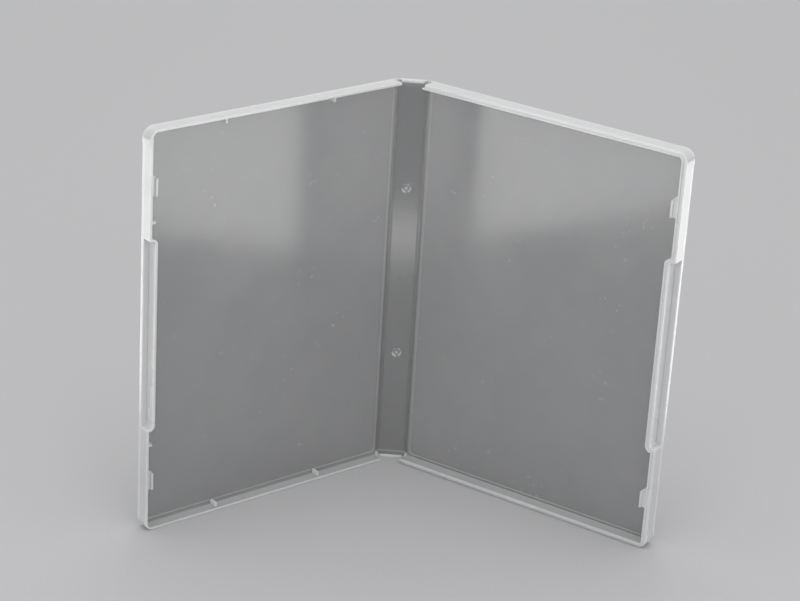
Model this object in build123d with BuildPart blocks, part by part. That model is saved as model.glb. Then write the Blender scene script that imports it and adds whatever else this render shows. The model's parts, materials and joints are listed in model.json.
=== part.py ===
from build123d import *
from math import atan2, cos, degrees, radians, sin, tan
import os

# Hinged plastic media case, moulded in one shot and standing open like a book.
# Z points up. The origin is the middle of the spine's foot, under its lower flange.
# The covers open towards -Y, the left one towards -X and the right one towards +X.

# Driving sizes of the case, in millimetres
case_height = 190.0
cover_reach = 134.2
left_depth = 6.7
right_depth = 7.4
panel_thickness = 1.2
wall_thickness = 1.2
corner_radius = 5.0
pocket_radius = 2.4
root_radius = 0.4
edge_radius = 0.6
rim_radius = 0.3

# How far each cover is opened from closed, in degrees
left_opening = 49.0
right_opening = 60.0

# Clearances between the covers and the spine when the case is shut
seam_gap = 0.3
lip_gap = 0.3
flange_gap = 0.3

# Living hinges, thinned from the inside with 45 degree flanks
web_thickness = 0.4
web_half_width = 0.7

# Spine with a shallow flange at each end and two dished gate marks on its inner face
spine_width = left_depth + seam_gap + right_depth
flange_depth = 2.1
flange_thickness = 1.2
low_gate_margin = 55.0
high_gate_margin = 52.3
gate_offset = -0.3
gate_radius = 2.6
gate_floor_radius = 1.6
gate_sink = 0.4
gate_nub_radius = 0.7
gate_nub_rise = 0.5

# Ends of the cover walls beside the spine, measured from the hinge line
wall_end = flange_depth + flange_gap
lip_end = panel_thickness + flange_gap
wall_end_slant = 0.6

# Thumb recess in the middle of each free edge, with a low bead along the ledge
thumb_length = 88.8
thumb_inset = 3.0
thumb_inner_radius = 1.3
thumb_mouth_radius = 1.4
corner_share = 0.95
bead_width = 1.1
bead_rise = 0.6

# Shallow seats on the outside for a film sleeve, and the pips that guard its free edge
film_sink = 0.3
film_border = 3.0
film_edge_border = 2.0
film_hinge_border = 2.6
film_corner_radius = 2.0
pip_rise = 0.35
pip_length = 7.0

# Lip that rises from the right cover's rim and enters the left cover
lip_thickness = 0.6
lip_rise = 0.9
lip_outer_inset = wall_thickness + lip_gap
lip_inner_inset = lip_outer_inset + lip_thickness

# Locating ribs inside the left cover's walls, which end just under the lip
rib_thickness = 1.0
rib_rise = 2.3
rib_reaches = (38.7, 95.8)
rib_thumb_gap = 8.5
rib_top = spine_width - right_depth - lip_rise - lip_gap

# Catches: a blade in the left cover, and a hooked block in the right one that goes behind it
low_catch_margin = 24.4
high_catch_margin = 25.9
blade_length = 8.0
blade_thickness = 0.9
blade_slot = 1.7
blade_outer_inset = wall_thickness + blade_slot
blade_inner_inset = blade_outer_inset + blade_thickness
hook_length = 8.0
hook_thickness = 0.9
hook_outer_inset = blade_inner_inset + lip_gap
hook_inner_inset = hook_outer_inset + hook_thickness

# Derived values
half_spine = spine_width / 2
outer_y = flange_depth / 2
thumb_low = (case_height - thumb_length) / 2
thumb_high = (case_height + thumb_length) / 2
lip_top = right_depth + lip_rise
gate_heights = (low_gate_margin, case_height - high_gate_margin)
gate_taper = degrees(atan2(gate_radius - gate_floor_radius, gate_sink))
rib_heights = (thumb_low - rib_thumb_gap, thumb_high + rib_thumb_gap)
catch_heights = (low_catch_margin, case_height - high_catch_margin)
LEFT = -1
RIGHT = 1


def hinge_point(side):
    """Foot of a hinge line, where the outer faces of spine and cover meet."""
    return Vector(side * half_spine, outer_y, 0)


def along_cover(side, opening):
    """Unit vector from the hinge line towards the cover's free edge."""
    return Vector(side * sin(radians(opening)), -cos(radians(opening)), 0)


def into_cover(side, opening):
    """Unit vector from the cover's outer face towards its rim."""
    return Vector(-side * cos(radians(opening)), -sin(radians(opening)), 0)


def face_plane(side, opening):
    """Plane on a cover's outer face: local x runs sideways, local y runs up."""
    return Plane(
        origin=hinge_point(side),
        x_dir=along_cover(side, opening) * side,
        z_dir=into_cover(side, opening),
    )


def foot_plane(side, opening):
    """Plane under a cover: local x runs to its free edge, and z runs up."""
    return Plane(
        origin=hinge_point(side),
        x_dir=along_cover(side, opening),
        z_dir=(0, 0, 1),
    )


def block(side, reaches, heights, radius=0):
    """Rectangle given by its distances from the hinge line and its heights."""
    with BuildSketch() as face:
        with Locations((side * sum(reaches) / 2, sum(heights) / 2)):
            Rectangle(reaches[1] - reaches[0], heights[1] - heights[0])
        if radius:
            fillet(face.vertices(), radius)
    return face.sketch


def panel_outline(side):
    """Cover seen from outside, out to the pips, with its two free corners rounded."""
    reach = cover_reach + pip_rise
    corners = [(0, 0), (reach, 0), (reach, case_height), (0, case_height)]
    with BuildSketch() as outline:
        with BuildLine():
            path = FilletPolyline(*[(side * x, y) for x, y in corners], radius=corner_radius)
            Line(path @ 1, path @ 0)
        make_face()
    return outline.sketch


def rim_outline(side, inset, free_radius, overhang=0):
    """Outline of a cover's walls with the thumb recess, a set distance in from the outside."""
    reach = cover_reach + overhang - inset
    ledge = cover_reach - thumb_inset - inset
    low = thumb_low - inset
    high = thumb_high + inset
    corners = [
        (0, inset),
        (reach, inset),
        (reach, low),
        (ledge, low),
        (ledge, high),
        (reach, high),
        (reach, case_height - inset),
        (0, case_height - inset),
    ]
    mouth_radius = max(thumb_mouth_radius - inset, 0)
    inner_radius = min(thumb_inner_radius + inset, corner_share * (thumb_inset - mouth_radius))
    radii = [free_radius, mouth_radius, inner_radius, inner_radius, mouth_radius, free_radius]
    with BuildSketch() as outline:
        with BuildLine():
            path = FilletPolyline(*[(side * x, y) for x, y in corners], radius=radii)
            Line(path @ 1, path @ 0)
        make_face()
    return outline.sketch


def hinge_end_cut(side, depth, end):
    """Space beside the spine that a cover leaves free, with the hinge's flank, seen from above."""
    far = 2 * depth
    flank_end = web_half_width + panel_thickness - web_thickness
    corners = [
        (-far, -far),
        (web_half_width, -far),
        (web_half_width, web_thickness),
        (flank_end, panel_thickness),
        (end + wall_end_slant, panel_thickness),
        (end, depth),
        (end, far),
        (-far, far),
    ]
    with BuildSketch() as cut:
        with BuildLine():
            Polyline(*[(x, -side * y) for x, y in corners], close=True)
        make_face()
    return cut.sketch


def tray(side, opening, depth, inset):
    """What both covers share: panel, walls, hinge flank, film seat, pips and ledge bead."""
    face = face_plane(side, opening)
    inwards = Axis(hinge_point(side), into_cover(side, opening))
    outwards = Axis(hinge_point(side), along_cover(side, opening))
    panel = panel_outline(side)
    walls = rim_outline(side, 0, corner_radius, pip_rise)
    pocket = rim_outline(side, inset, pocket_radius)
    end_cut = hinge_end_cut(side, depth, wall_end)
    pip_relief = block(
        side,
        (cover_reach, cover_reach + 2 * pip_rise),
        (pip_length, case_height - pip_length),
    )
    film_seat = block(
        side,
        (film_hinge_border, cover_reach - film_edge_border),
        (film_border, case_height - film_border),
        film_corner_radius,
    )
    bead = block(
        side,
        (cover_reach - bead_width, cover_reach),
        (thumb_low - thumb_mouth_radius, thumb_high + thumb_mouth_radius),
    )
    with BuildPart() as shell:
        with BuildSketch(face):
            add(panel)
        extrude(amount=panel_thickness)
        with BuildSketch(face.offset(panel_thickness)):
            add(walls)
        extrude(amount=depth - panel_thickness)
        outer_edges = shell.edges().group_by(inwards)[0].sort_by(outwards)[1:]
        fillet(outer_edges, edge_radius)
        rim_edges = shell.edges().group_by(inwards)[-1].sort_by(outwards)[1:]
        fillet(rim_edges, rim_radius)
        with BuildSketch(face.offset(panel_thickness)):
            add(pocket)
        extrude(amount=depth, mode=Mode.SUBTRACT)
        floor_face = shell.faces().filter_by(inwards).group_by(inwards)[1].sort_by(outwards)[0]
        floor_edges = floor_face.edges().sort_by(outwards)[1:]
        fillet(floor_edges, root_radius)
        with BuildSketch(foot_plane(side, opening)):
            add(end_cut)
        extrude(amount=case_height, mode=Mode.SUBTRACT)
        with BuildSketch(face):
            add(pip_relief)
        extrude(amount=depth, mode=Mode.SUBTRACT)
        with BuildSketch(face):
            add(film_seat)
        extrude(amount=film_sink, mode=Mode.SUBTRACT)
        with BuildSketch(face.offset(panel_thickness)):
            add(bead)
        extrude(amount=bead_rise)
    return shell.part


def spine_profile(depth):
    """Spine seen from above, with 45 degree flanks that start at the hinge webs."""
    foot = half_spine - web_half_width
    top = foot - (depth - web_thickness)
    corners = [
        (-foot, outer_y),
        (foot, outer_y),
        (foot, outer_y - web_thickness),
        (top, outer_y - depth),
        (-top, outer_y - depth),
        (-foot, outer_y - web_thickness),
    ]
    with BuildSketch() as profile:
        with BuildLine():
            Polyline(*corners, close=True)
        make_face()
    return profile.sketch


def hinge_web(side, opening):
    """Thin strip that joins the spine to a cover, bent round the hinge line."""
    bend = radians(90 - opening)
    hinge = hinge_point(side)
    spine_inwards = Vector(0, -1, 0)
    cover_inwards = into_cover(side, opening)
    middle_inwards = (spine_inwards + cover_inwards).normalized()
    spine_edge = hinge - Vector(side * web_half_width, 0, 0)
    cover_edge = hinge + along_cover(side, opening) * web_half_width
    crown = hinge + middle_inwards * web_half_width * tan(bend / 4)
    inner_spine_edge = spine_edge + spine_inwards * web_thickness
    inner_cover_edge = cover_edge + cover_inwards * web_thickness
    inner_crown = crown + middle_inwards * web_thickness
    with BuildPart() as web:
        with BuildSketch(Plane.XY.offset(edge_radius)):
            with BuildLine():
                ThreePointArc(spine_edge, crown, cover_edge)
                Line(cover_edge, inner_cover_edge)
                ThreePointArc(inner_cover_edge, inner_crown, inner_spine_edge)
                Line(inner_spine_edge, spine_edge)
            make_face()
        extrude(amount=case_height - 2 * edge_radius)
    return web.part


# Spine: a flat strip with a flange across its foot and its top
panel_profile = spine_profile(panel_thickness)
flange_profile = spine_profile(flange_depth)
spine_outside = Plane(origin=(0, outer_y, 0), x_dir=(1, 0, 0), z_dir=(0, -1, 0))
with BuildPart() as spine:
    with BuildSketch():
        add(panel_profile)
    extrude(amount=case_height)
    with BuildSketch(Plane.XY, Plane.XY.offset(case_height - flange_thickness)):
        add(flange_profile)
    extrude(amount=flange_thickness)
    inner_face = spine.faces().filter_by(Axis.Y).group_by(Axis.Y)[1][0]
    fillet(inner_face.edges().filter_by(Axis.X), root_radius)
    end_edges = spine.edges().filter_by(Axis.X).group_by(Axis.Y)[-1]
    fillet(end_edges, edge_radius)
    with BuildSketch(spine_outside):
        with Locations((0, case_height / 2)):
            Rectangle(2 * (half_spine - film_hinge_border), case_height - 2 * film_border)
    extrude(amount=film_sink, mode=Mode.SUBTRACT)
    with BuildSketch(spine_outside.offset(panel_thickness)):
        with Locations(*[(gate_offset, height) for height in gate_heights]):
            Circle(gate_radius)
    extrude(amount=-gate_sink, taper=gate_taper, mode=Mode.SUBTRACT)
    with BuildSketch(spine_outside.offset(panel_thickness - gate_sink)):
        with Locations(*[(gate_offset, height) for height in gate_heights]):
            Circle(gate_nub_radius)
    extrude(amount=gate_nub_rise)

# Left cover: the tray that the lip enters, with locating ribs and two catch blades
left_tray = tray(LEFT, left_opening, left_depth, wall_thickness)
left_floor = face_plane(LEFT, left_opening).offset(panel_thickness)
free_ribs = [
    block(
        LEFT,
        (cover_reach - wall_thickness - rib_rise, cover_reach - wall_thickness),
        (height - rib_thickness / 2, height + rib_thickness / 2),
    )
    for height in rib_heights
]
low_ribs = [
    block(
        LEFT,
        (reach - rib_thickness / 2, reach + rib_thickness / 2),
        (wall_thickness, wall_thickness + rib_rise),
    )
    for reach in rib_reaches
]
high_ribs = [
    block(
        LEFT,
        (reach - rib_thickness / 2, reach + rib_thickness / 2),
        (case_height - wall_thickness - rib_rise, case_height - wall_thickness),
    )
    for reach in rib_reaches
]
blades = [
    block(
        LEFT,
        (cover_reach - blade_inner_inset, cover_reach - blade_outer_inset),
        (height - blade_length / 2, height + blade_length / 2),
    )
    for height in catch_heights
]
with BuildPart() as left_cover:
    add(left_tray)
    with BuildSketch(left_floor):
        add(free_ribs + low_ribs + high_ribs)
    extrude(amount=rib_top - panel_thickness)
    with BuildSketch(left_floor):
        add(blades)
    extrude(amount=left_depth - panel_thickness)

# Right cover: the tray with the raised lip and two hooked catch blocks
right_tray = tray(RIGHT, right_opening, right_depth, lip_outer_inset)
right_floor = face_plane(RIGHT, right_opening).offset(panel_thickness)
lip_outside = rim_outline(RIGHT, lip_outer_inset, pocket_radius)
lip_inside = rim_outline(RIGHT, lip_inner_inset, pocket_radius - lip_thickness)
lip_cut = hinge_end_cut(RIGHT, lip_top, lip_end)
catch_blocks = [
    block(
        RIGHT,
        (cover_reach - hook_inner_inset, cover_reach - lip_inner_inset),
        (height - hook_length / 2, height + hook_length / 2),
    )
    for height in catch_heights
]
hooks = [
    block(
        RIGHT,
        (cover_reach - hook_inner_inset, cover_reach - hook_outer_inset),
        (height - hook_length / 2, height + hook_length / 2),
    )
    for height in catch_heights
]
with BuildPart() as right_cover:
    add(right_tray)
    with BuildSketch(right_floor):
        add(lip_outside - lip_inside)
    extrude(amount=lip_top - panel_thickness)
    with BuildSketch(foot_plane(RIGHT, right_opening)):
        add(lip_cut)
    extrude(amount=case_height, mode=Mode.SUBTRACT)
    with BuildSketch(right_floor):
        add(catch_blocks)
    extrude(amount=right_depth - panel_thickness)
    with BuildSketch(right_floor):
        add(hooks)
    extrude(amount=lip_top - panel_thickness)

# Living hinges
left_web = hinge_web(LEFT, left_opening)
right_web = hinge_web(RIGHT, right_opening)
with BuildPart() as left_hinge_web:
    add(left_web)
with BuildPart() as right_hinge_web:
    add(right_web)

# One file for each piece
os.makedirs("parts", exist_ok=True)
spine.part.label = "spine"
left_cover.part.label = "left_cover"
right_cover.part.label = "right_cover"
left_hinge_web.part.label = "left_hinge_web"
right_hinge_web.part.label = "right_hinge_web"
export_step(spine.part, "parts/spine.step")
export_step(left_cover.part, "parts/left_cover.step")
export_step(right_cover.part, "parts/right_cover.step")
export_step(left_hinge_web.part, "parts/left_hinge_web.step")
export_step(right_hinge_web.part, "parts/right_hinge_web.step")
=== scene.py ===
import json
import math

import bmesh
import bpy
from mathutils import Matrix, Vector


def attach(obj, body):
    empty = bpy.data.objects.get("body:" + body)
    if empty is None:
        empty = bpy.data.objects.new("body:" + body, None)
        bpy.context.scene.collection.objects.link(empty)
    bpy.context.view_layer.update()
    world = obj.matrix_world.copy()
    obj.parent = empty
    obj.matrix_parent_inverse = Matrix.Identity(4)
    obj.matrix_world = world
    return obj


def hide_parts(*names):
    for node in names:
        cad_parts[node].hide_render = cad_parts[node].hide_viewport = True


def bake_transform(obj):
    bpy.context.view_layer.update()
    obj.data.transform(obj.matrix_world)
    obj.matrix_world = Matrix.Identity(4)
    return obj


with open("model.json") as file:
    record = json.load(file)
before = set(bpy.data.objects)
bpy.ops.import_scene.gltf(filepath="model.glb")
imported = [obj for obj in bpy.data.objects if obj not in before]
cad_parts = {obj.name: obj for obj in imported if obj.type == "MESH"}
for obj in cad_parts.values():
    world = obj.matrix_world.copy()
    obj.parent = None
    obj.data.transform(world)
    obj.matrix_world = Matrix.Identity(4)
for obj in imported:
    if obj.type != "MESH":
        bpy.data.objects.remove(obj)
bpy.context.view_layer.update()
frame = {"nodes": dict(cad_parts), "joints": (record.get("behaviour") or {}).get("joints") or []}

bl_info = {
    "name": "Hinged media case",
    "version": (1, 0, 0),
    "blender": (4, 5, 0),
    "location": "View3D > Sidebar > Media case",
    "description": "Finishes a frosted hinged media case around its solid model",
    "category": "Object",
}

MM = 0.001
SIDES = {"left": -1, "right": 1}

# Each hinge's line, and how far its cover stands open from closed
JOINTS = {joint["name"]: joint for joint in frame["joints"]}
FEET = {side: Vector(JOINTS[f"{side}_hinge"]["pos_m"]) for side in SIDES}
OPENINGS = {
    "left": math.radians(JOINTS["left_hinge"]["range_deg"][1]),
    "right": math.radians(-JOINTS["right_hinge"]["range_deg"][0]),
}

WHITE = (1.0, 1.0, 1.0, 1.0)


class CaseSizes(bpy.types.PropertyGroup):
    """Sizes that the finish, the catch shoulders and the hinge webs follow."""
    height: bpy.props.FloatProperty(
        name="Height", description="Height of the case", default=190 * MM, unit="LENGTH")
    reach: bpy.props.FloatProperty(
        name="Cover reach", description="From a hinge line to a cover's free edge",
        default=134.2 * MM, unit="LENGTH")
    left_depth: bpy.props.FloatProperty(
        name="Left depth", description="Depth of the left cover", default=6.7 * MM, unit="LENGTH")
    right_depth: bpy.props.FloatProperty(
        name="Right depth", description="Depth of the right cover, without its lip",
        default=7.4 * MM, unit="LENGTH")
    flange_depth: bpy.props.FloatProperty(
        name="Flange depth", description="Depth of the spine at its flanges",
        default=2.1 * MM, unit="LENGTH")
    lip_reach: bpy.props.FloatProperty(
        name="Lip reach", description="From the outside of the right cover's wall to the inside of its lip",
        default=2.1 * MM, unit="LENGTH")
    corner: bpy.props.FloatProperty(
        name="Corner radius", description="Rounding of each cover's outer corners",
        default=5 * MM, unit="LENGTH")
    thumb_length: bpy.props.FloatProperty(
        name="Thumb recess length", description="Length of the recess in each free edge",
        default=88.8 * MM, unit="LENGTH")
    thumb_inset: bpy.props.FloatProperty(
        name="Thumb recess inset", description="How far the recess steps in",
        default=3 * MM, unit="LENGTH")
    catch_height: bpy.props.FloatVectorProperty(
        name="Catch heights", description="Middle of the lower and the upper catch",
        default=(24.4 * MM, 164.1 * MM), size=2, subtype="XYZ")
    catch_length: bpy.props.FloatProperty(
        name="Catch length", description="Height of each catch", default=8 * MM, unit="LENGTH")
    blade_outside: bpy.props.FloatProperty(
        name="Blade outside", description="From a free edge to the outer side of a catch blade",
        default=2.9 * MM, unit="LENGTH")
    blade_inside: bpy.props.FloatProperty(
        name="Blade inside", description="From a free edge to the inner side of a catch blade",
        default=3.8 * MM, unit="LENGTH")
    hook_inside: bpy.props.FloatProperty(
        name="Hook inside", description="From a free edge to the inner side of a catch hook",
        default=5 * MM, unit="LENGTH")
    left_shoulder: bpy.props.FloatVectorProperty(
        name="Left shoulder",
        description="Rise of the slope over a left catch, and its depth into the cover",
        default=(1.9 * MM, 5.8 * MM), size=2, subtype="XYZ")
    right_shoulder: bpy.props.FloatVectorProperty(
        name="Right shoulder",
        description="Rise of the slope over a right catch, and its depth into the cover",
        default=(2.6 * MM, 7.2 * MM), size=2, subtype="XYZ")
    shoulder_round: bpy.props.FloatProperty(
        name="Shoulder rounding", description="Rounding of the edges of the catch shoulders",
        default=0.12 * MM, unit="LENGTH")
    film_border: bpy.props.FloatProperty(
        name="Film border", description="Border of the film seat at the top and the foot",
        default=3 * MM, unit="LENGTH")
    film_hinge_border: bpy.props.FloatProperty(
        name="Film border at the hinge", description="Border of the film seat beside each hinge",
        default=2.6 * MM, unit="LENGTH")
    film_corner: bpy.props.FloatProperty(
        name="Film corner", description="Rounding of the film seat's corners",
        default=2 * MM, unit="LENGTH")
    panel: bpy.props.FloatProperty(
        name="Panel thickness", description="Thickness of the covers and the spine",
        default=1.2 * MM, unit="LENGTH")
    wall: bpy.props.FloatProperty(
        name="Wall thickness", description="Thickness of the walls", default=1.2 * MM, unit="LENGTH")
    end_radius: bpy.props.FloatProperty(
        name="End radius", description="Rounding at the ends of the spine, where the webs stop",
        default=0.6 * MM, unit="LENGTH")
    web_thickness: bpy.props.FloatProperty(
        name="Web thickness", description="Thickness of a living hinge", default=0.4 * MM, unit="LENGTH")
    web_half_width: bpy.props.FloatProperty(
        name="Web half width", description="Reach of a living hinge on each side of its line",
        default=0.7 * MM, unit="LENGTH")
    web_steps: bpy.props.IntProperty(
        name="Web steps", description="Strips across the bend of a living hinge", default=16)
    low_gate: bpy.props.FloatProperty(
        name="Lower gate", description="Height of the lower gate mark", default=55 * MM, unit="LENGTH")
    high_gate: bpy.props.FloatProperty(
        name="Upper gate", description="Height of the upper gate mark", default=137.7 * MM, unit="LENGTH")
    gate_offset: bpy.props.FloatProperty(
        name="Gate offset", description="Sideways place of the gate marks",
        default=-0.3 * MM, unit="LENGTH")


class CaseFinish(bpy.types.PropertyGroup):
    """Colours and finish of the plastic."""
    panel_colour: bpy.props.FloatVectorProperty(
        name="Panels", description="Colour of the thin panels",
        default=(0.222, 0.225, 0.228, 1.0), size=4, subtype="COLOR")
    spine_colour: bpy.props.FloatVectorProperty(
        name="Spine", description="Colour of the spine",
        default=(0.1, 0.102, 0.104, 1.0), size=4, subtype="COLOR")
    wall_colour: bpy.props.FloatVectorProperty(
        name="Walls", description="Colour of the walls, rims and catches, where the plastic is deep",
        default=(0.76, 0.765, 0.77, 1.0), size=4, subtype="COLOR")
    # Painted shade: the hinge webs and the spine's flanks take this dark colour for the shade on their
    # bends and slopes
    hinge_shade_colour: bpy.props.FloatVectorProperty(
        name="Webs", description="Colour of the hinge webs and of the spine's flanks",
        default=(0.078, 0.079, 0.08, 1.0), size=4, subtype="COLOR")
    scuff_colour: bpy.props.FloatVectorProperty(
        name="Scuffs", description="Colour of scuffs and dust",
        default=(0.9, 0.9, 0.9, 1.0), size=4, subtype="COLOR")
    panel_cover: bpy.props.FloatProperty(
        name="Panel cover", description="How much a panel's surface hides", default=0.55, subtype="FACTOR")
    wall_cover: bpy.props.FloatProperty(
        name="Wall cover", description="How much a wall's surface hides", default=0.9, subtype="FACTOR")
    web_cover: bpy.props.FloatProperty(
        name="Web cover", description="How much a web's surface hides", default=0.6, subtype="FACTOR")
    haze_white: bpy.props.FloatProperty(
        name="Haze whitening", description="How much the haze whitens the plastic",
        default=0.03, subtype="FACTOR")
    haze_cover: bpy.props.FloatProperty(
        name="Haze cover", description="How much more or less the surface hides in the haze",
        default=0.01, subtype="FACTOR")
    scuff_strength: bpy.props.FloatProperty(
        name="Scuff strength", description="How strongly scuffs and dust show on the panels",
        default=0.15, subtype="FACTOR")
    # Painted highlight on the ring and nub of each gate mark
    gate_highlight: bpy.props.FloatProperty(
        name="Gate whitening", description="How white the torn plastic of the gate marks is",
        default=0.5, subtype="FACTOR")
    # Painted light: whitens the top of the spine to lift the shade under its top flange
    top_flange_light: bpy.props.FloatProperty(
        name="Top whitening", description="How white the top of the spine is",
        default=0.5, subtype="FACTOR")
    roughness: bpy.props.FloatProperty(
        name="Roughness", description="Roughness of the moulded surface", default=0.13, subtype="FACTOR")
    wall_roughness: bpy.props.FloatProperty(
        name="Wall roughness", description="How much rougher the walls are than the panels",
        default=0.12, subtype="FACTOR")
    relief: bpy.props.FloatProperty(
        name="Relief", description="Depth of the slow waves in the moulded surface",
        default=0.05 * MM, unit="LENGTH")
    grain: bpy.props.FloatProperty(
        name="Grain", description="Depth of the fine grain in the moulded surface",
        default=0.004 * MM, unit="LENGTH")
    streaks: bpy.props.FloatProperty(
        name="Streaks", description="Depth of the fine lines along the hinge webs",
        default=0.01 * MM, unit="LENGTH")
    bending_power: bpy.props.FloatProperty(
        name="Bending power", description="Index of refraction of the plastic", default=1.49)
    scatter: bpy.props.FloatProperty(
        name="Scatter", description="How far light spreads inside the plastic",
        default=3 * MM, unit="LENGTH")
    scatter_share: bpy.props.FloatProperty(
        name="Scatter share", description="Share of the light that spreads inside the plastic",
        default=0.6, subtype="FACTOR")


class StageLook(bpy.types.PropertyGroup):
    """Floor, lamps and camera."""
    floor_colour: bpy.props.FloatVectorProperty(
        name="Floor", description="Colour of the floor",
        default=(0.54, 0.54, 0.55, 1.0), size=4, subtype="COLOR")
    fibre_shade: bpy.props.FloatProperty(
        name="Fibre shade", description="How bright the darkest fibres of the floor are",
        default=0.96, subtype="FACTOR")
    floor_reach: bpy.props.FloatProperty(
        name="Floor reach", description="From the middle of the floor to its edge",
        default=4.0, unit="LENGTH")
    floor_drop: bpy.props.FloatProperty(
        name="Floor drop", description="How far the floor lies below the case",
        default=0.05 * MM, unit="LENGTH")
    sky: bpy.props.FloatProperty(
        name="Sky", description="Strength of the light from all round", default=0.75)
    top_power: bpy.props.FloatProperty(
        name="Top softbox power", description="Power of the softbox over the case",
        default=2.5, unit="POWER")
    top_size: bpy.props.FloatProperty(
        name="Top softbox size", description="Side of the softbox over the case",
        default=0.65, unit="LENGTH")
    top_place: bpy.props.FloatVectorProperty(
        name="Top softbox place", description="Middle of the softbox over the case",
        default=(0, -0.06, 1.25), size=3, subtype="TRANSLATION")
    side_power: bpy.props.FloatProperty(
        name="Side softbox power", description="Power of each side softbox", default=1.4, unit="POWER")
    side_size: bpy.props.FloatProperty(
        name="Side softbox size", description="Side of the softboxes beside and behind the case",
        default=0.5, unit="LENGTH")
    side_place: bpy.props.FloatVectorProperty(
        name="Side softbox place", description="Middle of the right softbox; the left one mirrors it",
        default=(0.5, -1.08, 0.62), size=3, subtype="TRANSLATION")
    side_target: bpy.props.FloatVectorProperty(
        name="Side softbox target", description="Point that the softboxes beside and behind the case face",
        default=(0, -0.04, 0.14), size=3, subtype="TRANSLATION")
    back_power: bpy.props.FloatProperty(
        name="Back softbox power", description="Power of the softbox behind the case",
        default=1.4, unit="POWER")
    back_place: bpy.props.FloatVectorProperty(
        name="Back softbox place", description="Middle of the softbox behind the case",
        default=(0, 1.25, 0.85), size=3, subtype="TRANSLATION")
    card_glow: bpy.props.FloatProperty(
        name="Card glow", description="Brightness of the cards on the floor that the gloss shows",
        default=2.7)
    card_gap: bpy.props.FloatProperty(
        name="Card gap", description="From the middle of the case to the near edge of each side card",
        default=0.23, unit="LENGTH")
    card_size: bpy.props.FloatVectorProperty(
        name="Side card size", description="Width and length of each side card",
        default=(0.7, 0.9), size=2, subtype="XYZ")
    strip_place: bpy.props.FloatVectorProperty(
        name="Strip place", description="Middle of the narrow card in front of the case",
        default=(0, -0.284, 0), size=3, subtype="TRANSLATION")
    strip_size: bpy.props.FloatVectorProperty(
        name="Strip size", description="Width and length of the narrow card in front of the case",
        default=(0.3, 0.076), size=2, subtype="XYZ")
    lens: bpy.props.FloatProperty(
        name="Lens", description="Focal length of the camera", default=109.74, unit="CAMERA")
    sensor: bpy.props.FloatProperty(
        name="Sensor", description="Width of the camera's sensor", default=36.0, unit="CAMERA")
    azimuth: bpy.props.FloatProperty(
        name="Azimuth", description="Turn of the camera round the case",
        default=math.radians(2.115), unit="ROTATION")
    elevation: bpy.props.FloatProperty(
        name="Elevation", description="Height angle of the camera",
        default=math.radians(23.536), unit="ROTATION")
    roll: bpy.props.FloatProperty(
        name="Roll", description="Tilt of the camera about its line of sight",
        default=math.radians(3.44), unit="ROTATION")
    distance: bpy.props.FloatProperty(
        name="Distance", description="From the camera to the point it looks at",
        default=1.1388, unit="LENGTH")
    target: bpy.props.FloatVectorProperty(
        name="Target", description="Point that the camera looks at",
        default=(-0.075 * MM, 1.05 * MM, 81.13 * MM), size=3, subtype="XYZ")


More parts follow.
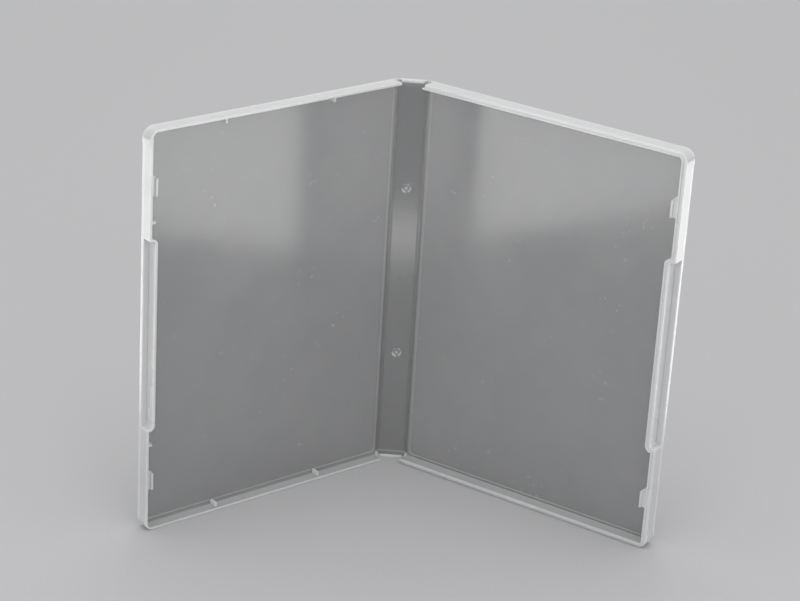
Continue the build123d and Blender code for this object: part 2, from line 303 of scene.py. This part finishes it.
class NodeSheet:
    """Adds nodes to a tree and joins them."""

    def __init__(self, tree):
        self.nodes = tree.nodes
        self.links = tree.links

    def give(self, socket, value):
        """Links an output to a socket, or sets the socket to a value."""
        if isinstance(value, bpy.types.NodeSocket):
            self.links.new(value, socket)
        else:
            socket.default_value = value

    def add(self, kind, settings=None, **inputs):
        """New node with its settings, and its inputs set or linked by their names, with _ for a space."""
        node = self.nodes.new(kind)
        for name, value in (settings or {}).items():
            setattr(node, name, value)
        for name, value in inputs.items():
            self.give(node.inputs[name.replace("_", " ")], value)
        return node

    def fill(self, kind, settings, *values):
        """New node with its settings, and its first inputs set or linked in their order."""
        node = self.add(kind, settings)
        for socket, value in zip(node.inputs, values):
            self.give(socket, value)
        return node

    def maths(self, operation, *numbers):
        """Result of one operation on numbers."""
        return self.fill("ShaderNodeMath", {"operation": operation}, *numbers).outputs[0]

    def plus(self, first, second):
        """Sum of two numbers."""
        return self.maths("ADD", first, second)

    def minus(self, first, second):
        """First number less the second."""
        return self.maths("SUBTRACT", first, second)

    def times(self, first, second):
        """Product of two numbers."""
        return self.maths("MULTIPLY", first, second)

    def larger(self, first, second):
        """Larger of two numbers."""
        return self.maths("MAXIMUM", first, second)

    def unsigned(self, number):
        """Size of a number without its sign."""
        return self.maths("ABSOLUTE", number)

    def from_end(self, height, up):
        """Distance from the nearer end of the case."""
        return self.maths("MINIMUM", self.minus(height, up), up)

    def ramp(self, value, low, high, start=0.0, end=1.0):
        """Value carried smoothly from the range low to high to the range start to end."""
        smooth = {"interpolation_type": "SMOOTHSTEP"}
        return self.fill("ShaderNodeMapRange", smooth, value, low, high, start, end).outputs["Result"]

    def ramp_past(self, value, edge, fade, start=0.0, end=1.0):
        """Value carried smoothly over a range that is given as two distances past an edge."""
        low, high = [self.plus(edge, step) for step in fade]
        return self.ramp(value, low, high, start, end)

    def split(self, vector):
        """Three numbers of a vector."""
        return self.add("ShaderNodeSeparateXYZ", Vector=vector).outputs

    def vector(self, operation, *vectors):
        """Node with the result of one operation on vectors."""
        return self.fill("ShaderNodeVectorMath", {"operation": operation}, *vectors)

    def length(self, vector):
        """Length of a vector."""
        return self.vector("LENGTH", vector).outputs["Value"]

    def moved(self, place, **changes):
        """Place moved, turned and stretched."""
        return self.add("ShaderNodeMapping", Vector=place, **changes).outputs[0]

    def noise(self, place, scale, detail, roughness=0.5):
        """Value of a cloudy pattern."""
        return self.add(
            "ShaderNodeTexNoise", Vector=place, Scale=scale, Detail=detail, Roughness=roughness).outputs[0]

    def blend(self, share, first, second):
        """Colour between two colours."""
        return self.add(
            "ShaderNodeMix", {"data_type": "RGBA"}, Factor=share, A=first, B=second).outputs["Result"]

    def group(self, tree, **inputs):
        """Outputs of a shader group with its inputs set or linked by their names."""
        return self.add("ShaderNodeGroup", {"node_tree": tree}, **inputs).outputs

    def rounded(self, first, second, radius):
        """Distance inside an edge made of two straight sides with a rounded corner between them."""
        short = [self.larger(self.minus(radius, side), 0.0) for side in (first, second)]
        corner = self.fill("ShaderNodeCombineXYZ", {}, *short).outputs[0]
        return self.minus(radius, self.length(corner))


def new_group(name, vectors, numbers, results):
    """Shader group with its sheet, its named inputs and its named outputs, which are numbers."""
    tree = bpy.data.node_groups.new(name, "ShaderNodeTree")
    for label in vectors:
        tree.interface.new_socket(name=label, in_out="INPUT", socket_type="NodeSocketVector")
    for label in numbers:
        tree.interface.new_socket(name=label, in_out="INPUT", socket_type="NodeSocketFloat")
    for label in results:
        tree.interface.new_socket(name=label, in_out="OUTPUT", socket_type="NodeSocketFloat")
    sheet = NodeSheet(tree)
    given = sheet.add("NodeGroupInput").outputs
    result = sheet.add("NodeGroupOutput").inputs
    return tree, sheet, given, result


def deep_and_lit_plastic_group():
    """Mask of deep plastic at rims, outsides, ribs and catches, with painted highlight on the rims and
    painted light on the thumb ledges, the walls' inner faces and the outer face behind the walls, from a
    place given along a cover, into it and up it.
    """
    tree, sheet, given, result = new_group(
        "deep plastic", ["Place"],
        ["Reach", "Height", "Corner", "Panel", "Wall", "Rim", "Thumb Length", "Thumb Inset"], ["Mask"])

    # Each fade runs from where its mask starts to where it is full, as distances from one surface
    outside_fade = (0.95 * MM, 0.35 * MM)
    skin_fade = (0.9 * MM, 0.1 * MM)
    rim_fade = (-0.7 * MM, -0.15 * MM)
    off_wall_fade = (0.15 * MM, 0.4 * MM)
    off_panel_fade = (0.15 * MM, 0.8 * MM)
    thumb_fade = (2.0 * MM, 1.2 * MM)
    ledge_fade = (0.3 * MM, -0.1 * MM)
    outer_face_fade = (0.9 * MM, 0.4 * MM)
    behind_wall_fade = (0.5 * MM, -0.2 * MM)
    outside_share = 0.86
    ledge_light_share = 0.9
    inner_light_share = 0.55
    behind_light_share = 0.7

    along, inside, up = sheet.split(given["Place"])
    panel, wall = given["Panel"], given["Wall"]
    from_free = sheet.minus(given["Reach"], along)
    nearest = sheet.rounded(sheet.from_end(given["Height"], up), from_free, given["Corner"])

    skin = sheet.ramp_past(inside, panel, skin_fade, outside_share, 1.0)
    outside = sheet.times(sheet.ramp(nearest, *outside_fade), skin)
    # Rims: deep plastic seen end on, with a painted highlight along them
    rim_highlight = sheet.ramp_past(inside, given["Rim"], rim_fade)
    off_wall = sheet.ramp_past(nearest, wall, off_wall_fade)
    off_panel = sheet.ramp_past(inside, panel, off_panel_fade)
    raised = sheet.times(off_wall, off_panel)
    # Inner faces of the walls: partly deep plastic, partly painted light that brightens them
    lit_inner_face = sheet.times(off_panel, inner_light_share)

    # Painted light on the thumb recess's ledge, which lifts the shade there
    from_middle = sheet.unsigned(sheet.minus(up, sheet.times(given["Height"], 0.5)))
    past_thumb = sheet.minus(from_middle, sheet.times(given["Thumb Length"], 0.5))
    past_inset = sheet.minus(from_free, given["Thumb Inset"])
    lit_ledge = sheet.times(
        sheet.ramp(past_thumb, *thumb_fade), sheet.ramp(past_inset, *ledge_fade, 0.0, ledge_light_share))

    # The walls also whiten the outer face behind them: deep plastic, and painted light that lifts the shade
    # seen through the panel into the wall
    wall_shade_lift = sheet.ramp_past(nearest, wall, behind_wall_fade, 0.0, behind_light_share)
    behind = sheet.times(sheet.ramp(inside, *outer_face_fade), wall_shade_lift)

    mask = outside
    for share in (rim_highlight, raised, lit_ledge, lit_inner_face, behind):
        mask = sheet.larger(mask, share)
    sheet.give(result["Mask"], mask)
    return tree


def film_seat_group():
    """Line of painted highlight along the film seat's step, and the seat's border, which both show through
    the panel.
    """
    tree, sheet, given, result = new_group(
        "film seat", ["Place"], ["Height", "End Border", "Hinge Border", "Corner"], ["Line", "Border"])
    line_fade = (0.65 * MM, 0.2 * MM)
    border_fade = (0.3 * MM, -0.1 * MM)

    place = sheet.split(given["Place"])
    past_end = sheet.minus(sheet.from_end(given["Height"], place["Z"]), given["End Border"])
    past_hinge = sheet.minus(place["X"], given["Hinge Border"])
    within = sheet.rounded(past_end, past_hinge, given["Corner"])
    sheet.give(result["Line"], sheet.ramp(sheet.unsigned(within), *line_fade))
    sheet.give(result["Border"], sheet.ramp(within, *border_fade))
    return tree


def moulded_surface_group():
    """Haze, slow waves, handling marks and fine grain of a moulded surface."""
    tree, sheet, given, result = new_group(
        "moulded surface", ["Place"], [], ["Haze", "Waves", "Scuffs", "Grain"])

    # Scales are in cells to the metre, and a stretch draws its pattern out along one direction
    haze_scale = 22.0
    wave_scale = 34.0
    wave_stretch = (1.0, 1.0, 0.22)
    scratch_scale = 420.0
    scratch_turn = (0.5, 0.7, 0.3)
    scratch_stretch = (1.0, 0.09, 1.0)
    patch_scale = 38.0
    speck_scale = 230.0
    grain_scale = 1500.0
    scratch_fade = (0.66, 0.74)
    worn_fade = (0.52, 0.66)
    speck_fade = (0.07, 0.03)
    dusty_fade = (0.62, 0.72)

    place = given["Place"]
    haze = sheet.noise(place, haze_scale, detail=3.0, roughness=0.55)
    waves = sheet.noise(sheet.moved(place, Scale=wave_stretch), wave_scale, detail=2.0)
    drawn = sheet.moved(place, Rotation=scratch_turn, Scale=scratch_stretch)
    scratches = sheet.noise(drawn, scratch_scale, detail=2.0, roughness=0.6)
    patches = sheet.noise(place, patch_scale, detail=1.0)
    dust = sheet.add("ShaderNodeTexVoronoi", Vector=place, Scale=speck_scale, Randomness=1.0)
    grain = sheet.noise(place, grain_scale, detail=2.0)

    worn = sheet.times(sheet.ramp(scratches, *scratch_fade), sheet.ramp(patches, *worn_fade))
    dusty = sheet.times(
        sheet.ramp(dust.outputs["Distance"], *speck_fade), sheet.ramp(patches, *dusty_fade))
    sheet.give(result["Haze"], haze)
    sheet.give(result["Waves"], waves)
    sheet.give(result["Scuffs"], sheet.larger(worn, dusty))
    sheet.give(result["Grain"], grain)
    return tree


def gate_mark_group():
    """Painted highlight on the broken ring and the nub of a gate mark, on the inner face of the spine."""
    tree, sheet, given, result = new_group("gate mark", ["Place", "Centre"], [], ["Mask"])
    ring_start = (1.3 * MM, 1.7 * MM)
    ring_end = (2.6 * MM, 2.1 * MM)
    nub_fade = (0.8 * MM, 0.6 * MM)
    inner_fade = (0.2 * MM, -0.1 * MM)
    break_scale = 330.0
    break_fade = (0.42, 0.58)
    least_highlight = 0.1
    in_face = (1.0, 0.0, 1.0)

    away = sheet.vector("SUBTRACT", given["Place"], given["Centre"]).outputs[0]
    distance = sheet.length(sheet.vector("MULTIPLY", away, in_face).outputs[0])
    ring = sheet.times(sheet.ramp(distance, *ring_start), sheet.ramp(distance, *ring_end))
    nub = sheet.ramp(distance, *nub_fade)
    ring_breaks = sheet.noise(away, break_scale, detail=2.0, roughness=0.6)
    # Noise breaks the painted highlight of the ring into pieces
    torn = sheet.times(ring, sheet.ramp(ring_breaks, *break_fade, least_highlight, 1.0))
    inner = sheet.ramp(sheet.split(away)["Y"], *inner_fade)
    sheet.give(result["Mask"], sheet.times(sheet.larger(torn, nub), inner))
    return tree


def new_material(name):
    """Material with its sheet, its shader and the output that tells the place on the object."""
    material = bpy.data.materials.new(name)
    material.use_nodes = True
    sheet = NodeSheet(material.node_tree)
    here = sheet.add("ShaderNodeTexCoord").outputs["Object"]
    return material, sheet, sheet.nodes["Principled BSDF"], here


def frosted_plastic(name, finish, shade, groups):
    """Frosted plastic that is clearer and greyer where it is thin, and whiter where it is deep.

    The function shade gives the colour where it is thin, with painted shade on the spine's flanks, and the
    mask of where it is deep, which also carries painted highlight and painted light.
    """
    haze_range = (0.3, 0.7)
    roughness_range = (0.8 * finish.roughness, 1.3 * finish.roughness)
    scuff_limit = 0.4
    scuff_cover = 0.3
    scuff_roughness = 0.6
    grain_strength = 0.35

    material, sheet, shader, here = new_material(name)
    haze, waves, scuffs, grain = sheet.group(groups["surface"], Place=here)
    thin, deep = shade(sheet, here)

    colour = sheet.blend(deep, thin, finish.wall_colour)
    hazy = sheet.blend(sheet.ramp(haze, *haze_range, 0.0, finish.haze_white), colour, WHITE)
    faint = sheet.times(scuffs, sheet.ramp(deep, 0.0, scuff_limit, finish.scuff_strength, 0.0))
    sheet.give(shader.inputs["Base Color"], sheet.blend(faint, hazy, finish.scuff_colour))

    cover = sheet.ramp(deep, 0.0, 1.0, finish.panel_cover, finish.wall_cover)
    cloudy = sheet.plus(cover, sheet.ramp(haze, *haze_range, -finish.haze_cover, finish.haze_cover))
    sheet.give(shader.inputs["Alpha"], sheet.plus(cloudy, sheet.times(faint, scuff_cover)))

    rough = sheet.ramp(haze, *haze_range, *roughness_range)
    scuffed = sheet.plus(rough, sheet.times(faint, scuff_roughness))
    sheet.give(shader.inputs["Roughness"], sheet.plus(scuffed, sheet.times(deep, finish.wall_roughness)))

    slow = sheet.add("ShaderNodeBump", Strength=1.0, Distance=finish.relief, Height=waves)
    fine = sheet.add(
        "ShaderNodeBump", Strength=grain_strength, Distance=finish.grain, Height=grain,
        Normal=slow.outputs[0])
    sheet.give(shader.inputs["Normal"], fine.outputs[0])
    set_gloss(shader, finish)
    shader.inputs["Subsurface Weight"].default_value = finish.scatter_share
    shader.inputs["Subsurface Radius"].default_value = (1.0, 1.0, 1.0)
    shader.inputs["Subsurface Scale"].default_value = finish.scatter
    return material


def set_gloss(shader, finish):
    """Gives a shader the bending power and the strong mirror of moulded plastic."""
    shader.inputs["IOR"].default_value = finish.bending_power
    shader.inputs["Specular IOR Level"].default_value = 1.0


def depth_and_light_mask(sheet, local, sizes, groups, rim, wall, border_share):
    """Mask of deep plastic and painted light, together with a painted highlight along the film seat's step,
    and the seat's border.
    """
    step_highlight_share = 0.13
    foot_highlight_share = 0.35
    foot_fade = (1.8 * sizes.film_border, 1.3 * sizes.film_border)

    deep = sheet.group(
        groups["deep"], Place=local, Reach=sizes.reach, Height=sizes.height, Corner=sizes.corner,
        Panel=sizes.panel, Wall=wall, Rim=rim, Thumb_Length=sizes.thumb_length,
        Thumb_Inset=sizes.thumb_inset)
    film = sheet.group(
        groups["film"], Place=local, Height=sizes.height, End_Border=sizes.film_border,
        Hinge_Border=sizes.film_hinge_border, Corner=sizes.film_corner)
    # Painted highlight: the step's line is stronger near the foot, where the step faces up into the light
    # from above
    lit = sheet.ramp(sheet.split(local)["Z"], *foot_fade, step_highlight_share, foot_highlight_share)
    seat = sheet.larger(sheet.times(film["Line"], lit), sheet.times(film["Border"], border_share))
    return sheet.larger(deep["Mask"], seat)


def cover_shade(side, finish, sizes, groups):
    """Function that gives a cover's thin colour and its mask of deep plastic and painted light."""
    border_share = 0.08
    rim = {"left": sizes.left_depth, "right": sizes.right_depth}[side]
    wall = {"left": sizes.wall, "right": sizes.lip_reach}[side]
    turn = math.pi / 2 + OPENINGS[side]
    start = Matrix.Rotation(turn, 3, "Z") @ Vector((-abs(FEET[side].x), FEET[side].y, 0))

    def shade(sheet, here):
        local = sheet.moved(here, Scale=(-SIDES[side], 1, 1), Rotation=(0, 0, turn), Location=-start)
        return finish.panel_colour, depth_and_light_mask(sheet, local, sizes, groups, rim, wall, border_share)
    return shade


def spine_shade(finish, sizes, groups):
    """Function that gives the spine's thin colour, with painted shade on its flanks, and its mask of deep
    plastic and painted light, with painted highlight on the gate marks.
    """
    border_share = 0.1
    flank_shade_share = 0.6
    flank_blur = 0.2 * MM
    face = FEET["left"].y
    flank = FEET["right"].x - sizes.web_half_width - sizes.panel

    def shade(sheet, here):
        local = sheet.moved(here, Scale=(0, -1, 1), Location=(sizes.reach / 2, face, 0))
        mask = depth_and_light_mask(sheet, local, sizes, groups, sizes.flange_depth, sizes.wall, border_share)
        # Painted highlight on the ring and nub of each gate mark
        for height in (sizes.low_gate, sizes.high_gate):
            centre = (sizes.gate_offset, face - sizes.panel / 2, height)
            gate = sheet.group(groups["gate"], Place=here, Centre=centre)["Mask"]
            mask = sheet.larger(mask, sheet.times(gate, finish.gate_highlight))
        place = sheet.split(here)
        # Painted shade on the spine's sloping flanks beside the hinges
        edge = sheet.ramp(
            sheet.unsigned(place["X"]), flank - flank_blur, flank + flank_blur, 0.0, flank_shade_share)
        # Painted light under the top flange, where the painted flank shade also stops
        top = sheet.ramp(place["Z"], sizes.height - sizes.film_border, sizes.height - sizes.wall)
        below = sheet.times(edge, sheet.minus(1.0, top))
        mask = sheet.larger(mask, sheet.times(top, finish.top_flange_light))
        return sheet.blend(below, finish.spine_colour, finish.hinge_shade_colour), mask
    return shade


class CASE_OT_dress_shells(bpy.types.Operator):
    """Give the spine and both covers their frosted plastic"""
    bl_idname = "case.dress_shells"
    bl_label = "Dress the shells"

    def execute(self, context):
        finish, sizes = context.scene.case_finish, context.scene.case_sizes
        groups = {"deep": deep_and_lit_plastic_group(), "film": film_seat_group(),
                  "surface": moulded_surface_group(), "gate": gate_mark_group()}
        for side in SIDES:
            shade = cover_shade(side, finish, sizes, groups)
            plastic = frosted_plastic(f"frosted plastic, {side} cover", finish, shade, groups)
            self.paint(f"{side}_cover", plastic)
        plastic = frosted_plastic(
            "frosted plastic, spine", finish, spine_shade(finish, sizes, groups), groups)
        self.paint("spine", plastic)
        return {"FINISHED"}

    def paint(self, name, material):
        """Puts a material on one node of the solid model."""
        node = frame["nodes"][name]
        node.data.materials.clear()
        node.data.materials.append(material)


def finished_piece(scene, name, work, material):
    """Object made of a bmesh, with its material."""
    mesh = bpy.data.meshes.new(name)
    work.to_mesh(mesh)
    work.free()
    mesh.materials.append(material)
    piece = bpy.data.objects.new(name, mesh)
    scene.collection.objects.link(piece)
    return piece


class CASE_OT_make_catch_shoulders(bpy.types.Operator):
    """Make the sloping shoulders over the catches, and the step behind each blade"""
    bl_idname = "case.make_catch_shoulders"
    bl_label = "Make the catch shoulders"

    # How far a shoulder reaches into the wall, the panel and the catch
    sink = 0.03 * MM

    def execute(self, context):
        scene = context.scene
        sizes = scene.case_sizes
        floor = sizes.panel - self.sink
        for side, (rise, depth) in (("left", sizes.left_shoulder), ("right", sizes.right_shoulder)):
            step = self.place(side, 0, depth, 0) - self.place(side, 0, floor, 0)
            work = bmesh.new()
            for middle in sizes.catch_height:
                profile = self.profile(side, sizes, middle, rise)
                corners = [work.verts.new(self.place(side, sizes.reach - inset, floor, up))
                           for inset, up in profile]
                face = work.faces.new(corners)
                grown = bmesh.ops.extrude_face_region(work, geom=[face], use_keep_orig=True)
                top = [item for item in grown["geom"] if isinstance(item, bmesh.types.BMVert)]
                bmesh.ops.translate(work, verts=top, vec=step)
            bmesh.ops.recalc_face_normals(work, faces=work.faces)
            bmesh.ops.bevel(
                work, geom=work.edges[:], offset=sizes.shoulder_round, offset_type="OFFSET",
                affect="EDGES", segments=2, profile=0.5, material=-1)
            plastic = frame["nodes"][f"{side}_cover"].data.materials[0]
            shoulders = finished_piece(scene, f"{side}_catch_shoulders", work, plastic)
            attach(shoulders, f"{side}_cover")
        return {"FINISHED"}

    def profile(self, side, sizes, middle, rise):
        """Corners of a shoulder, given in from the free edge and up the cover."""
        low, high = middle - sizes.catch_length / 2, middle + sizes.catch_length / 2
        if side == "left":
            wall, blade = sizes.wall - self.sink, sizes.blade_outside + self.sink
            return [(wall, low), (blade, low), (blade, high), (sizes.blade_inside, high),
                    (wall, high + rise)]
        wall, foot = sizes.lip_reach - self.sink, high - self.sink
        return [(wall, foot), (sizes.hook_inside, foot), (wall, high + rise)]

    def place(self, side, along, inside, up):
        """Point given along a cover, into it and up it."""
        turn, foot, sign = OPENINGS[side], FEET[side], SIDES[side]
        return Vector((foot.x + sign * (along * math.sin(turn) - inside * math.cos(turn)),
                       foot.y - along * math.cos(turn) - inside * math.sin(turn), up))


class CASE_OT_make_hinge_webs(bpy.types.Operator):
    """Make the two living hinges, bent to their covers' opening"""
    bl_idname = "case.make_hinge_webs"
    bl_label = "Make the hinge webs"

    def execute(self, context):
        scene = context.scene
        finish, sizes = scene.case_finish, scene.case_sizes
        material = self.web_plastic(finish, sizes)
        tall = Vector((0, 0, sizes.height - 2 * sizes.end_radius))
        thick = Vector((0, -sizes.web_thickness, 0))
        for side, sign in SIDES.items():
            bend = math.pi / 2 - OPENINGS[side]
            radius = sizes.web_half_width / math.tan(bend / 2)
            foot = Vector((FEET[side].x, FEET[side].y, sizes.end_radius))
            spine_edge = foot - Vector((sign * sizes.web_half_width, 0, 0))
            centre = spine_edge - Vector((0, radius, 0))
            work = bmesh.new()
            corners = [work.verts.new(spine_edge + step) for step in (Vector(), thick, thick + tall, tall)]
            face = work.faces.new(corners)
            bmesh.ops.spin(
                work, geom=[face] + list(face.edges) + corners, cent=centre, axis=(0, 0, 1),
                angle=-sign * bend, steps=sizes.web_steps, use_merge=False, use_duplicate=False)
            bmesh.ops.recalc_face_normals(work, faces=work.faces)
            web = finished_piece(scene, f"{side}_web", work, material)
            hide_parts(f"{side}_hinge_web")
            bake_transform(web)
        return {"FINISHED"}

    def web_plastic(self, finish, sizes):
        """Thin and clear plastic of the living hinges, with fine lines along the bend, painted shade over
        them and painted light at their ends.
        """
        streak_scale = 2600.0
        streak_stretch = (1.0, 1.0, 0.05)
        streak_fade = (0.35, 0.7)
        streak_strength = 0.5

        material, sheet, shader, here = new_material("clear plastic, hinge webs")
        lines = sheet.noise(sheet.moved(here, Scale=streak_stretch), streak_scale, detail=2.0)
        pale = sheet.ramp(lines, *streak_fade)
        # Painted shade: the webs are dark, with paler fine lines
        streaked = sheet.blend(pale, finish.hinge_shade_colour, finish.spine_colour)
        # Painted light: near both ends of the case the webs whiten to lift the shade in the gaps by the
        # flanges
        from_end = sheet.from_end(sizes.height, sheet.split(here)["Z"])
        ends = sheet.ramp(from_end, sizes.film_border, sizes.wall)
        cover = sheet.ramp(pale, 0.0, 1.0, finish.web_cover, finish.panel_cover)
        rough = sheet.ramp(pale, 0.0, 1.0, finish.roughness, 2 * finish.roughness)
        bump = sheet.add(
            "ShaderNodeBump", Strength=streak_strength, Distance=finish.streaks, Height=lines)
        sheet.give(shader.inputs["Base Color"], sheet.blend(ends, streaked, finish.wall_colour))
        sheet.give(shader.inputs["Alpha"], cover)
        sheet.give(shader.inputs["Roughness"], rough)
        sheet.give(shader.inputs["Normal"], bump.outputs[0])
        set_gloss(shader, finish)
        return material


class CASE_OT_set_stage(bpy.types.Operator):
    """Set the floor, the lamps, the world and the camera"""
    bl_idname = "case.set_stage"
    bl_label = "Set the stage"

    def execute(self, context):
        scene = context.scene
        look = scene.case_stage
        scene.view_settings.view_transform = "Standard"
        self.lay_floor(scene, look)
        self.light_world(scene, look)
        self.light_case(scene, look)
        self.set_camera(scene, look)
        return {"FINISHED"}

    def lay_floor(self, scene, look):
        """Pale floor just below the case."""
        work = bmesh.new()
        bmesh.ops.create_grid(work, x_segments=1, y_segments=1, size=look.floor_reach)
        floor = finished_piece(scene, "floor", work, self.pale_floor(look))
        floor.location.z = -look.floor_drop

    def pale_floor(self, look):
        """Matt pale floor with the fine fibres of paper."""
        fibre_scale = 900.0
        fibre_fade = (0.3, 0.7)
        material, sheet, shader, here = new_material("pale floor")
        fibres = sheet.noise(here, fibre_scale, detail=3.0, roughness=0.6)
        darker = [look.fibre_shade * value for value in look.floor_colour[:3]] + [1.0]
        colour = sheet.blend(sheet.ramp(fibres, *fibre_fade), darker, look.floor_colour)
        sheet.give(shader.inputs["Base Color"], colour)
        shader.inputs["Roughness"].default_value = 0.9
        shader.inputs["Specular IOR Level"].default_value = 0.2
        return material

    def light_world(self, scene, look):
        """Even white light from all round."""
        world = bpy.data.worlds.new("studio")
        scene.world = world
        world.use_nodes = True
        sky = world.node_tree.nodes["Background"]
        sky.inputs["Color"].default_value = WHITE
        sky.inputs["Strength"].default_value = look.sky

    def light_case(self, scene, look):
        """Softboxes over, beside and behind the case, and cards on the floor beside and before it."""
        top, target = Vector(look.top_place), Vector(look.side_target)
        top_square = (look.top_size, look.top_size)
        side_square = (look.side_size, look.side_size)
        self.softbox(scene, "top softbox", top, Vector((top.x, top.y, 0)), top_square, look.top_power)
        for side, sign in SIDES.items():
            place = Vector(look.side_place)
            place.x *= sign
            self.softbox(scene, f"{side} softbox", place, target, side_square, look.side_power)
            middle = Vector((sign * (look.card_gap + look.card_size[0] / 2), 0, 0))
            self.card(scene, f"{side} card", middle, look.card_size, look.card_glow)
        self.card(scene, "front strip", Vector(look.strip_place), look.strip_size, look.card_glow)
        back = self.softbox(
            scene, "back softbox", Vector(look.back_place), target, side_square, look.back_power)
        back.visible_glossy = False

    def softbox(self, scene, name, place, target, size, power):
        """Soft rectangular lamp that faces a point."""
        lamp = bpy.data.lights.new(name, "AREA")
        lamp.shape = "RECTANGLE"
        lamp.size, lamp.size_y = size
        lamp.energy = power
        box = bpy.data.objects.new(name, lamp)
        box.location = place
        box.rotation_mode = "QUATERNION"
        box.rotation_quaternion = (target - place).to_track_quat("-Z", "Y")
        scene.collection.objects.link(box)
        return box

    def card(self, scene, name, middle, size, glow):
        """Glowing card that faces up and shows only in the gloss of the plastic."""
        power = glow * math.pi * size[0] * size[1]
        card = self.softbox(scene, name, middle, middle + Vector((0, 0, 1)), size, power)
        card.visible_camera = False
        card.visible_diffuse = False

    def set_camera(self, scene, look):
        """Camera at the photograph's viewing angle."""
        camera = bpy.data.cameras.new("camera")
        camera.lens = look.lens
        camera.sensor_width = look.sensor
        eye = bpy.data.objects.new("camera", camera)
        scene.collection.objects.link(eye)
        azimuth, elevation, roll = look.azimuth, look.elevation, look.roll
        back = Vector((math.sin(azimuth) * math.cos(elevation),
                       -math.cos(azimuth) * math.cos(elevation),
                       math.sin(elevation)))
        level = Vector((math.cos(azimuth), math.sin(azimuth), 0))
        upright = back.cross(level)
        across = math.cos(roll) * level + math.sin(roll) * upright
        up = math.cos(roll) * upright - math.sin(roll) * level
        turn = Matrix((across, up, back)).transposed().to_4x4()
        eye.matrix_world = Matrix.Translation(Vector(look.target) + back * look.distance) @ turn
        scene.camera = eye


class CASE_PT_sidebar(bpy.types.Panel):
    """Lists the case's makers, sizes, finish and stage"""
    bl_label = "Media case"
    bl_space_type = "VIEW_3D"
    bl_region_type = "UI"
    bl_category = "Media case"

    def draw(self, context):
        for operator in OPERATORS:
            self.layout.operator(operator.bl_idname)
        for name, group in GROUPS.items():
            box = self.layout.box()
            for value in group.__annotations__:
                box.prop(getattr(context.scene, name), value)


GROUPS = {"case_sizes": CaseSizes, "case_finish": CaseFinish, "case_stage": StageLook}
OPERATORS = (
    CASE_OT_set_stage, CASE_OT_dress_shells, CASE_OT_make_catch_shoulders, CASE_OT_make_hinge_webs)
CLASSES = tuple(GROUPS.values()) + OPERATORS + (CASE_PT_sidebar,)


def register():
    for item in CLASSES:
        bpy.utils.register_class(item)
    for name, group in GROUPS.items():
        setattr(bpy.types.Scene, name, bpy.props.PointerProperty(type=group))


def unregister():
    for name in GROUPS:
        delattr(bpy.types.Scene, name)
    for item in reversed(CLASSES):
        bpy.utils.unregister_class(item)


def main():
    register()
    bpy.ops.case.set_stage()
    bpy.ops.case.dress_shells()
    bpy.ops.case.make_catch_shoulders()
    bpy.ops.case.make_hinge_webs()


if __name__ == "__main__":
    main()
